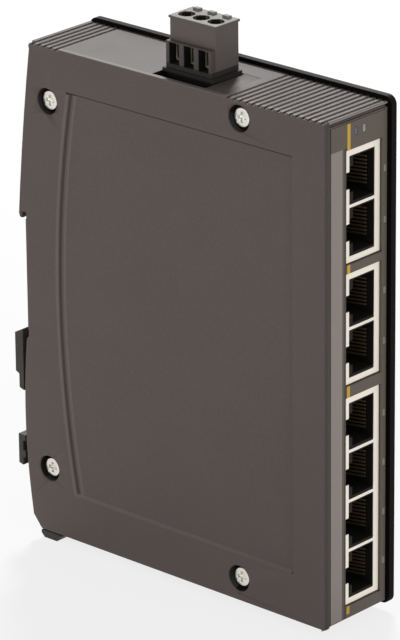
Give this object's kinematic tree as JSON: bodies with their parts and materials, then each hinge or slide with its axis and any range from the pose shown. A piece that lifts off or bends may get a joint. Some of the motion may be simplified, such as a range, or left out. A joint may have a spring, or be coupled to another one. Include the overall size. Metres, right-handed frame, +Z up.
{
  "type": "din rail ethernet switch",
  "caption": "Slim rail-mounted Ethernet switch with a front column of shielded network sockets, a plug-in screw terminal for power on top and a sprung rail latch behind.",
  "frame": {"origin": "middle of the flat rail seat on the housing's back, half-way between the fixed hook and the latch", "axes": "+Y out of the seat towards the rail, +Z up along the height, +X along the rail towards the black base cover; the sockets face -Y"},
  "size_m": [0.026, 0.1126, 0.1578],
  "materials": {
    "housing_paint": "fine satin powder coat",
    "base_paint": "black satin powder coat",
    "foil": "printed polyester foil, satin",
    "screw_steel": "bright zinc plating",
    "board": "solder resist",
    "tin_plate": "tin plated sheet",
    "jack_plastic": "moulded",
    "contact_brass": "gold flashed",
    "clear_plastic": "clear moulding",
    "diode": "moulded",
    "chip": "moulded",
    "capacitor_can": "drawn can",
    "plug_plastic": "moulded",
    "header_plastic": "moulded",
    "latch_plastic": "moulded",
    "spring_steel": "drawn wire",
    "terminal_metal": "nickel plated"
  },
  "bodies": {
    "housing": {"left_cover": "housing_paint", "right_cover": "base_paint", "housing_frame": "housing_paint", "front_foil": "foil", "cover_screws": "screw_steel", "board_screws": "screw_steel", "circuit_board": "board", "switch_chip": "chip", "line_transformers": "chip", "crystal": "capacitor_can", "power_inductor": "chip", "regulator_chip": "chip", "input_fuse": "diode", "smoothing_capacitors": "capacitor_can", "upper_jack_shield": "tin_plate", "upper_jack_insert": "jack_plastic", "upper_jack_contacts": "contact_brass", "upper_jack_light_pipe": "clear_plastic", "middle_jack_shield": "tin_plate", "middle_jack_insert": "jack_plastic", "middle_jack_contacts": "contact_brass", "middle_jack_light_pipe": "clear_plastic", "lower_jack_shield": "tin_plate", "lower_jack_insert": "jack_plastic", "lower_jack_contacts": "contact_brass", "lower_jack_light_pipe": "clear_plastic", "port_diodes": "diode", "power_light_pipe": "clear_plastic", "power_diodes": "diode", "latch_spring": "spring_steel", "power_header": "header_plastic", "header_pins": "terminal_metal", "plug_body": "plug_plastic", "plug_contacts": "terminal_metal"},
    "latch": {"rail_latch": "latch_plastic"},
    "clamp_screw_1": {"terminal_screw_1": "screw_steel"},
    "cage_1": {"clamp_cage_1": "terminal_metal"},
    "clamp_screw_2": {"terminal_screw_2": "screw_steel"},
    "cage_2": {"clamp_cage_2": "terminal_metal"},
    "clamp_screw_3": {"terminal_screw_3": "screw_steel"},
    "cage_3": {"clamp_cage_3": "terminal_metal"}
  },
  "joints": [
    {"name": "rail_latch_slide", "type": "slide", "parent": "housing", "child": "latch", "axis": [0, 0, -1], "range_m": [0, 0.0035], "stiffness_N_per_m": 2500, "springref_m": -0.004, "deforming": ["latch_spring"]},
    {"name": "terminal_screw_1_turn", "type": "hinge", "parent": "housing", "child": "clamp_screw_1", "pos_m": [-0.0025, -0.06018, 0.078], "axis": [0, 0, -1], "range_deg": [0, 1362]},
    {"name": "clamp_cage_1_lift", "type": "slide", "parent": "housing", "child": "cage_1", "axis": [0, 0, 1], "range_m": [0, 0.0017]},
    {"name": "terminal_screw_2_turn", "type": "hinge", "parent": "housing", "child": "clamp_screw_2", "pos_m": [-0.0025, -0.0551, 0.078], "axis": [0, 0, -1], "range_deg": [0, 1362]},
    {"name": "clamp_cage_2_lift", "type": "slide", "parent": "housing", "child": "cage_2", "axis": [0, 0, 1], "range_m": [0, 0.0017]},
    {"name": "terminal_screw_3_turn", "type": "hinge", "parent": "housing", "child": "clamp_screw_3", "pos_m": [-0.0025, -0.05002, 0.078], "axis": [0, 0, -1], "range_deg": [0, 1362]},
    {"name": "clamp_cage_3_lift", "type": "slide", "parent": "housing", "child": "cage_3", "axis": [0, 0, 1], "range_m": [0, 0.0017]}
  ],
  "couplings": [
    {"joint": "terminal_screw_1_turn", "follows": "clamp_cage_1_lift", "rad_per_m": 13963},
    {"joint": "terminal_screw_2_turn", "follows": "clamp_cage_2_lift", "rad_per_m": 13963},
    {"joint": "terminal_screw_3_turn", "follows": "clamp_cage_3_lift", "rad_per_m": 13963}
  ]
}
